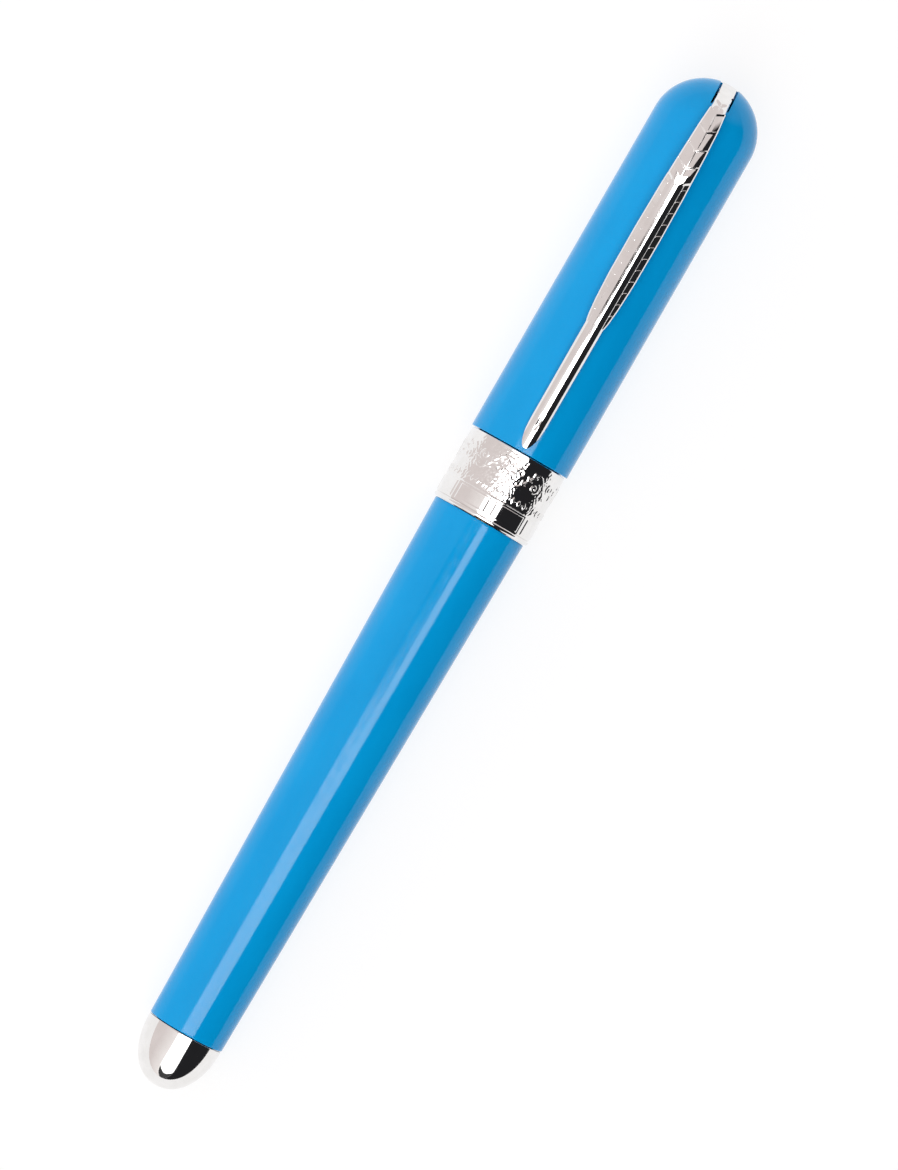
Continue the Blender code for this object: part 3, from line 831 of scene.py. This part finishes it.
def make_band():
    """Metal lip of the cap, with generic ornament raised from its surface."""
    tiles, tile_columns, rows = 8, 80, 136
    tile = 2 * pi * BAND_RADIUS / tiles
    across = np.linspace(0, tile, tile_columns, endpoint=False)[None, :]
    along = np.linspace(BAND_START, BAND_END, rows)[:, None]
    relief = np.tile(band_relief(across, along, tile), (1, tiles))
    angles = around(tiles * tile_columns)
    outside = wrapped(along, BAND_RADIUS - relief, angles)
    sleeve_end, sleeve_radius, sleeve_bore = 22.6, 5.75, 5.2
    bore, bore_end = 5.9, 17.4
    # The seam's floor is a V, so that it shows dark.
    seam_v = 0.2
    inside = softened(
        [
            (BAND_END, sleeve_radius),
            (CAP_START, sleeve_radius - seam_v),
            (CAP_START + seam_v, sleeve_radius),
            (sleeve_end, sleeve_radius),
            (sleeve_end, sleeve_bore),
            (bore_end, sleeve_bore),
            (bore_end, bore),
            (BAND_START, bore),
        ],
        0.08,
    )
    inside = np.array(inside)
    points = np.concatenate([outside, wrapped(inside[:, :1], inside[:, 1:], angles)])
    mesh = tidied(grid_mesh("band_ornament", points))
    add_piece("band_ornament", mesh, "silver_trim", "cap", "centre_band")


# ---------------------------------------------------------------- clip

CLIP_TIP = 19.4
CLIP_FALL_START, CLIP_HEEL = Vector((58.0, 9.5)), Vector((24.0, 8.08))
FALL_SLOPE, HEEL_SLOPE = radians(1.95), radians(3.05)
LEAF_TIPS = [56.2, 58.6, 61.0, 63.7, 66.3, 68.4]
# How far a leaf's edges run back from its tip, to each millimetre from the spine
LEAF_V = 0.65
# The rounding of the leaves' back, and of the rib and the shaft
CROWN_ROUND = 5.6
RIB_ROUND = 1.3
RIB_START = 56.4
RIB_HALF = 1.0
# The vanes fall away from the rib at a slope and end at the shaft.
VANE_END = 36.8
VANE_SLOPE = 0.36
BARB_PITCH = 1.6
BARB_LEAN = tan(radians(28))
# From here on the clip lies flush in the dome's slot.
FLUSH_START = 69.2


def bezier(points, steps):
    a, b, c, d = (np.array(p) for p in points)
    t = np.linspace(0.0, 1.0, steps, endpoint=False)[:, None]
    s = 1 - t
    return a * s**3 + b * 3 * s * s * t + c * 3 * s * t * t + d * t**3


def clip_top_line():
    """The clip's outer line as (x, height): flush in the dome, a tight shoulder, a slow fall, a dip."""
    lift = radians(18)
    flush_angles = np.linspace(radians(-4), lift, 40, endpoint=False)
    flush = np.stack([DOME_CENTRE + CAP_RADIUS * np.cos(flush_angles), CAP_RADIUS * np.sin(flush_angles)], 1)
    off = Vector((DOME_CENTRE + CAP_RADIUS * cos(lift), CAP_RADIUS * sin(lift)))
    heading = Vector((-sin(lift), cos(lift)))
    leaving = Vector((-cos(FALL_SLOPE), -sin(FALL_SLOPE)))
    arriving = Vector((-cos(HEEL_SLOPE), -sin(HEEL_SLOPE)))
    third = (CLIP_HEEL - CLIP_FALL_START).length / 3
    rise = bezier([off, off + 7.5 * heading, CLIP_FALL_START - 6.0 * leaving, CLIP_FALL_START], 240)
    fall_pulls = [CLIP_FALL_START + third * leaving, CLIP_HEEL - third * arriving]
    fall = bezier([CLIP_FALL_START, *fall_pulls, CLIP_HEEL], 620)
    tip = Vector((CLIP_TIP, 7.5))
    dip = bezier([CLIP_HEEL, CLIP_HEEL + 1.9 * arriving, tip + Vector((1.1, 0.5)), tip], 80)
    return np.concatenate([flush, rise, fall, dip])


def clip_half_width(x):
    """It swells along the vanes, steps in to the shaft, and comes to a rounded point."""
    places = [24.0, 36.4, 37.6, 39.5, 43.0, 49.5, 55.5, 60.0, 65.0, 68.5]
    halves = [1.17, 1.22, 1.42, 1.6, 1.76, 1.8, 1.7, 1.53, 1.3, 0.97]
    width = np.interp(x, places, halves)
    into_tip = np.clip((CLIP_HEEL.x - x) / (CLIP_HEEL.x - CLIP_TIP), 0.0, 1.0)
    narrowing, fullness = 0.97, 2.6
    return width * np.sqrt(1 - narrowing * into_tip**fullness)


def rounded(y, radius):
    """How far a round back of this radius has fallen at y."""
    return radius - np.sqrt(np.clip(radius**2 - y**2, 0.0, None))


def clip_depth(x, y, half):
    """How far the clip's face lies below its top line."""
    side = np.abs(y)
    share = side / half

    leaf_fall, leaf_droop = 0.15, 0.3
    crown = rounded(y, CROWN_ROUND)
    fall, droop = leaf_shape(x, side, share)
    crown += leaf_fall * fall + leaf_droop * droop * share**3

    foot = rounded(RIB_HALF, RIB_ROUND)
    vane = foot + VANE_SLOPE * (side - RIB_HALF) - barb_rise(x, side, half)
    ribbed = np.where(side < RIB_HALF, rounded(y, RIB_ROUND), vane)

    # The rib and its vanes come out from under the V of the last leaf. All edges have a fine bevel.
    ramp = 0.3
    onto_rib = np.clip((RIB_START - x + LEAF_V * side) / ramp, 0.0, 1.0)
    feathered = crown * (1 - onto_rib) + ribbed * onto_rib
    bevel, bevel_slope = 0.16, 1.2
    feathered += bevel_slope * np.clip(bevel - (half - side), 0.0, None)

    shaft = rounded(y, RIB_ROUND)
    to_shaft = np.clip((VANE_END - x) / ramp, 0.0, 1.0)
    depth = feathered * (1 - to_shaft) + shaft * to_shaft

    flush = y**2 / (2 * CAP_RADIUS)
    depth = np.where(x > FLUSH_START, flush, depth)
    return depth + tip_hollow(x, y)


def tip_hollow(x, y):
    """A short spindle-shaped hollow before the tip."""
    middle, half_length, half_width, depth = 23.1, 1.3, 0.24, 0.1
    lengthwise = np.clip(1 - ((x - middle) / half_length) ** 2, 0.0, None)
    return depth * (lengthwise * np.clip(1 - (y / half_width) ** 2, 0.0, None))


def leaf_shape(x, side, share):
    """Two shapes of the overlapping leaves, whose edges are a V towards the clip's tip.

    The fall is a step down from the leaf above, none on the spine, which the leaf makes up again by its own
    tip, or the last one by its middle. The droop grows from 0 at the leaf's root to 1 at its tip. The steps
    are longer on the upper leaves."""
    along = x - LEAF_V * side
    height = eased(share, 0.03, 0.09)
    step = 0.01 + height * (0.08 + 0.17 * eased(along, 61.8, 62.4))
    fall, droop = np.zeros_like(along), np.zeros_like(along)
    for tip, root in zip(LEAF_TIPS, LEAF_TIPS[1:]):
        below = root - along
        length = root - tip
        rise = length / 2 if tip == LEAF_TIPS[0] else length
        inside = (below >= 0) & (below < length)
        leaf_fall = np.clip(below / step, 0.0, 1.0) * np.clip(1 - below / rise, 0.0, 1.0)
        fall = np.where(inside, leaf_fall, fall)
        droop = np.where(inside, below / length, droop)
    return height * fall * (1 - eased(along, 67.3, 67.8)), droop


def barb_rise(x, side, half):
    """The vanes' barbs: fine slanting ribs between hollow cells."""
    phase = ((x - BARB_LEAN * (side - RIB_HALF)) / BARB_PITCH) % 1.0
    rib = raised(np.minimum(phase, 1 - phase) * BARB_PITCH, 0.03, 0.11, 0.055)
    return rib * eased(half, RIB_HALF + 0.25, RIB_HALF + 0.5)


def clip_thickness(x, height):
    """A deep block in the dome's slot, a thin shoulder, and a blade that stays clear of the cap."""
    root_start, root_top = 66.0, 1.9
    block, shoulder, blade, clearance = 4.0, 0.9, 1.3, 0.1
    at_root = np.where(height < root_top, block, shoulder)
    over_cap = np.minimum(blade, height - CAP_RADIUS - clearance)
    return np.where(x > root_start, at_root, over_cap)


def make_clip():
    """Feather-shaped clip: leaves over the shoulder, a ribbed quill with vanes, and a plain shaft."""
    line = clip_top_line()
    x, height = line[:, :1], line[:, 1:]
    tangent = np.gradient(line, axis=0)
    tangent /= np.linalg.norm(tangent, axis=1)[:, None]
    out_x, out_z = tangent[:, 1:], -tangent[:, :1]

    half = clip_half_width(x)
    face_columns = 72
    share = np.linspace(-1.0, 1.0, face_columns)[None, :]
    y = half * share
    depth = clip_depth(np.broadcast_to(x, y.shape), y, half)

    thickness = clip_thickness(x, height)
    least_side = 0.12
    depth = np.minimum(depth, thickness - least_side)
    back_share = np.array([[1.0, 0.985, 0.93, 0.5, -0.5, -0.93, -0.985, -1.0]])
    back_lift = np.array([[0.1, 0.03, 0.0, 0.0, 0.0, 0.0, 0.03, 0.1]])
    back_y = half * back_share
    back_depth = thickness - back_lift

    y = np.concatenate([y, back_y], axis=1)
    depth = np.concatenate([depth, back_depth], axis=1)
    points = np.stack([x - out_x * depth, y, height - out_z * depth], axis=-1)
    mesh = tidied(grid_mesh("clip_feather", points, closed_rows=False), caps=True)
    add_piece("clip_feather", mesh, "silver_trim", "clip", "clip")


# ---------------------------------------------------------------- stage


def world_maths(tree, operation, first, second=None, third=None):
    node = tree.nodes.new("ShaderNodeMath")
    node.operation = operation
    for socket, value in zip(node.inputs, (first, second, third)):
        if isinstance(value, (int, float)):
            socket.default_value = value
        elif value is not None:
            tree.links.new(value, socket)
    return node.outputs["Value"]


def world_range(tree, value, from_min, from_max, to_min, to_max):
    node = tree.nodes.new("ShaderNodeMapRange")
    for socket, number in zip(node.inputs[1:5], (from_min, from_max, to_min, to_max)):
        socket.default_value = number
    tree.links.new(value, node.inputs["Value"])
    return node.outputs["Result"]


def world_span(tree, value, from_low, from_high, to_low, to_high):
    """1 over a span of the value, with a blend at each end of it."""
    starts = world_range(tree, value, from_low, from_high, 0.0, 1.0)
    stops = world_range(tree, value, to_low, to_high, 1.0, 0.0)
    return world_maths(tree, "MULTIPLY", starts, stops)


def world_mix(tree, factor):
    node = tree.nodes.new("ShaderNodeMix")
    node.data_type = "RGBA"
    tree.links.new(factor, node.inputs["Factor"])
    return node


# The studio's lights, and the brightest of them
WARM, PALE, STRIP = (0.78, 0.71, 0.695), (0.98, 0.93, 0.91), (2.2, 2.2, 2.2)
DARK, LEVEL = (0.018, 0.018, 0.02), (0.9, 0.88, 0.89)
BRIGHTEST = 2.2


def scaled(colour):
    """A light as a share of the brightest, with its alpha."""
    share = 1 / BRIGHTEST
    return (*(part * share for part in colour), 1)


def studio_directions(tree):
    """Of every direction: how far it points along the pen, and its turn round the pen from straight up."""
    direction = tree.nodes.new("ShaderNodeTexCoord").outputs["Generated"]
    split = tree.nodes.new("ShaderNodeSeparateXYZ")
    tree.links.new(direction, split.inputs["Vector"])
    along = split.outputs["X"]
    towards_right = world_maths(tree, "MULTIPLY", split.outputs["Y"], -1.0)
    turn = world_maths(tree, "ARCTAN2", towards_right, split.outputs["Z"])
    # The lamps are wider towards the barrel's end.
    towards_barrel = world_maths(tree, "MINIMUM", along, 0.0)
    narrowing = world_maths(tree, "MULTIPLY_ADD", world_maths(tree, "POWER", towards_barrel, 2.0), -0.65, 1.0)
    return along, world_maths(tree, "MULTIPLY", turn, narrowing)


def studio_bands(tree, turn):
    """Bands of light round the pen. Each starts at a turn in degrees, with a blend from the one before."""
    bands = [(-180, LEVEL), (-104, WARM), (-38, PALE), (-15, STRIP), (24, DARK), (91, LEVEL)]
    blends = [2, 34, 6, 1.5, 2]
    ramp = tree.nodes.new("ShaderNodeValToRGB")
    stops = ramp.color_ramp.elements
    for stop, (_, colour) in ((stops[0], bands[0]), (stops[1], bands[-1])):
        stop.color = scaled(colour)
    for (_, before), (angle, after), blend in zip(bands, bands[1:], blends):
        for offset, colour in ((-blend / 2, before), (blend / 2, after)):
            stops.new((angle + offset) / 360 + 0.5).color = scaled(colour)
    tree.links.new(world_maths(tree, "MULTIPLY_ADD", turn, 1 / (2 * pi), 0.5), ramp.inputs["Fac"])
    return ramp.outputs["Color"]


def reflector_share(tree, along, turn, bands):
    """Where the reflector stands in for the bands: at the cap's end and over most of the strip's left half.

    The left half is lit only towards the barrel's end and over one short stretch."""
    bright = world_range(tree, bands, 0.1, 0.3, 0.0, 1.0)
    near_end = world_maths(tree, "MULTIPLY", world_range(tree, along, 0.065, 0.09, 0.0, 1.0), bright)
    far_end = world_range(tree, along, 0.6, 0.8, 0.0, 1.0)
    left_half = world_range(tree, turn, radians(6), radians(8), 1.0, 0.0)
    unlit = world_range(tree, along, -0.054, -0.048, 0.0, 1.0)
    lit_stretch = world_span(tree, along, 0.001, 0.007, 0.028, 0.036)
    unlit = world_maths(tree, "SUBTRACT", unlit, world_maths(tree, "MULTIPLY", unlit, lit_stretch))
    short = world_maths(tree, "MULTIPLY", world_maths(tree, "MULTIPLY", unlit, left_half), bright)
    return world_maths(tree, "MAXIMUM", world_maths(tree, "MAXIMUM", near_end, far_end), short)


def undarkened(tree, along, turn):
    """The light that is left outside a dark cup round the strip's end and a dark slit along the strip."""
    middle, half_width = 4.5, 19.5
    off_middle = world_maths(tree, "MULTIPLY_ADD", turn, 1 / radians(half_width), -middle / half_width)
    off_middle = world_maths(tree, "POWER", off_middle, 2.0)
    cup_edge = world_maths(tree, "MULTIPLY_ADD", off_middle, -0.1, along)
    cup = world_range(tree, cup_edge, -0.95, -0.93, 0.02, 1.0)
    beside = world_range(tree, off_middle, 1.0, 1.15, 0.0, 1.0)
    slit_length = world_span(tree, along, -0.038, -0.032, -0.0155, -0.0075)
    slit_width = world_span(tree, turn, radians(-24), radians(-21), radians(3), radians(5))
    slit = world_maths(tree, "MULTIPLY", slit_length, slit_width)
    outside_slit = world_range(tree, slit, 0.0, 1.0, 1.0, 0.03)
    return world_maths(tree, "MULTIPLY", world_maths(tree, "MAXIMUM", cup, beside), outside_slit)


def glossy_boost(tree, along, colour):
    """How much stronger glossy surfaces see the strip, less so towards the barrel's end."""
    strip_part = world_range(tree, colour, 0.55, 1.0, 0.0, 1.0)
    glossy = tree.nodes.new("ShaderNodeLightPath").outputs["Is Glossy Ray"]
    extra = world_maths(tree, "MULTIPLY", strip_part, glossy)
    extra = world_maths(tree, "MULTIPLY", extra, world_range(tree, along, -0.35, -0.2, 0.15, 1.0))
    return world_maths(tree, "MULTIPLY_ADD", extra, 2.5, 1.0)


def make_studio():
    """Soft studio light in bands round the pen: a white strip overhead, a warm reflector and a dark side.

    The strip stops at a dark gap above the horizon at the barrel's end. The camera sees plain white."""
    world = bpy.data.worlds.new("studio")
    world.use_nodes = True
    bpy.context.scene.world = world
    tree = world.node_tree
    tree.nodes.clear()
    along, turn = studio_directions(tree)
    bands = studio_bands(tree, turn)
    with_reflector = world_mix(tree, reflector_share(tree, along, turn, bands))
    tree.links.new(bands, with_reflector.inputs["A"])
    with_reflector.inputs["B"].default_value = scaled(WARM)
    colour = with_reflector.outputs["Result"]
    boost = glossy_boost(tree, along, colour)
    strength = world_maths(tree, "MULTIPLY", undarkened(tree, along, turn), boost)
    strength = world_maths(tree, "MULTIPLY", strength, BRIGHTEST)

    light = tree.nodes.new("ShaderNodeBackground")
    tree.links.new(colour, light.inputs["Color"])
    tree.links.new(strength, light.inputs["Strength"])
    white = tree.nodes.new("ShaderNodeBackground")
    white.inputs["Color"].default_value = (1, 1, 1, 1)
    seen = tree.nodes.new("ShaderNodeLightPath").outputs["Is Camera Ray"]
    choice = tree.nodes.new("ShaderNodeMixShader")
    output = tree.nodes.new("ShaderNodeOutputWorld")
    tree.links.new(seen, choice.inputs["Fac"])
    tree.links.new(light.outputs["Background"], choice.inputs[1])
    tree.links.new(white.outputs["Background"], choice.inputs[2])
    tree.links.new(choice.outputs["Shader"], output.inputs["Surface"])


def light_table():
    """Matt grey that glows white, so that the pen's shadow on it stays pale."""
    look = bpy.data.materials.new("floor")
    look.use_nodes = True
    shader = look.node_tree.nodes["Principled BSDF"]
    shader.inputs["Base Color"].default_value = (0.25, 0.25, 0.25, 1)
    shader.inputs["Roughness"].default_value = 1.0
    shader.inputs["Specular IOR Level"].default_value = 0.0
    shader.inputs["Emission Color"].default_value = (1, 1, 1, 1)
    shader.inputs["Emission Strength"].default_value = 0.8
    return look


def make_floor():
    """A plain white light table that the pen lies on: it touches the cap's lip and the finial's edge."""
    # In metres
    reach = 1.5
    touch_cap = Vector((CAP_START, 0.0, AXIS - CAP_RADIUS))
    touch_tail = Vector((BARREL_START - SHADOW_GAP, 0.0, AXIS - TAIL_RADIUS))
    slope = (touch_tail.z - touch_cap.z) / (touch_tail.x - touch_cap.x)
    corners = []
    for x, y in ((-reach, -reach), (reach, -reach), (reach, reach), (-reach, reach)):
        corners.append((x, y, touch_cap.z * MM + slope * (x - touch_cap.x * MM)))
    mesh = bpy.data.meshes.new("floor")
    mesh.from_pydata(corners, [], [(0, 1, 2, 3)])
    floor = bpy.data.objects.new("floor", mesh)
    bpy.context.scene.collection.objects.link(floor)
    mesh.materials.append(light_table())


def make_camera():
    """Above the pen with a long lens, leaning a little to its +Y side. The pen climbs to the right."""
    lean = radians(2.2)
    rise = radians(60.1)
    target = Vector((0.355, -0.677, AXIS)) * MM
    # In metres
    distance = 0.8
    back = Vector((0.0, sin(lean), cos(lean)))
    side = Vector((0.0, cos(lean), -sin(lean)))
    along = Vector((1.0, 0.0, 0.0))
    right = along * cos(rise) - side * sin(rise)
    up = along * sin(rise) + side * cos(rise)
    data = bpy.data.cameras.new("camera")
    focal_length, film_width = 200, 36
    data.lens = focal_length
    data.sensor_width = film_width
    camera = bpy.data.objects.new("camera", data)
    turn = Matrix((right, up, back)).transposed().to_4x4()
    camera.matrix_world = Matrix.Translation(target + back * distance) @ turn
    bpy.context.scene.collection.objects.link(camera)
    bpy.context.scene.camera = camera


LOOKS = make_looks()
dress_cad_nodes()
make_barrel()
make_finial()
make_insert()
make_connector()
make_section_seal()
make_collar()
make_grip()
make_nose()
make_washer()
make_refill_tube()
make_refill_tip()
make_ball()
make_cap_resin()
make_cap_magnet_ring()
make_inner_cap()
make_band()
make_clip()
make_studio()
make_floor()
make_camera()
bpy.context.scene.view_settings.view_transform = "Standard"
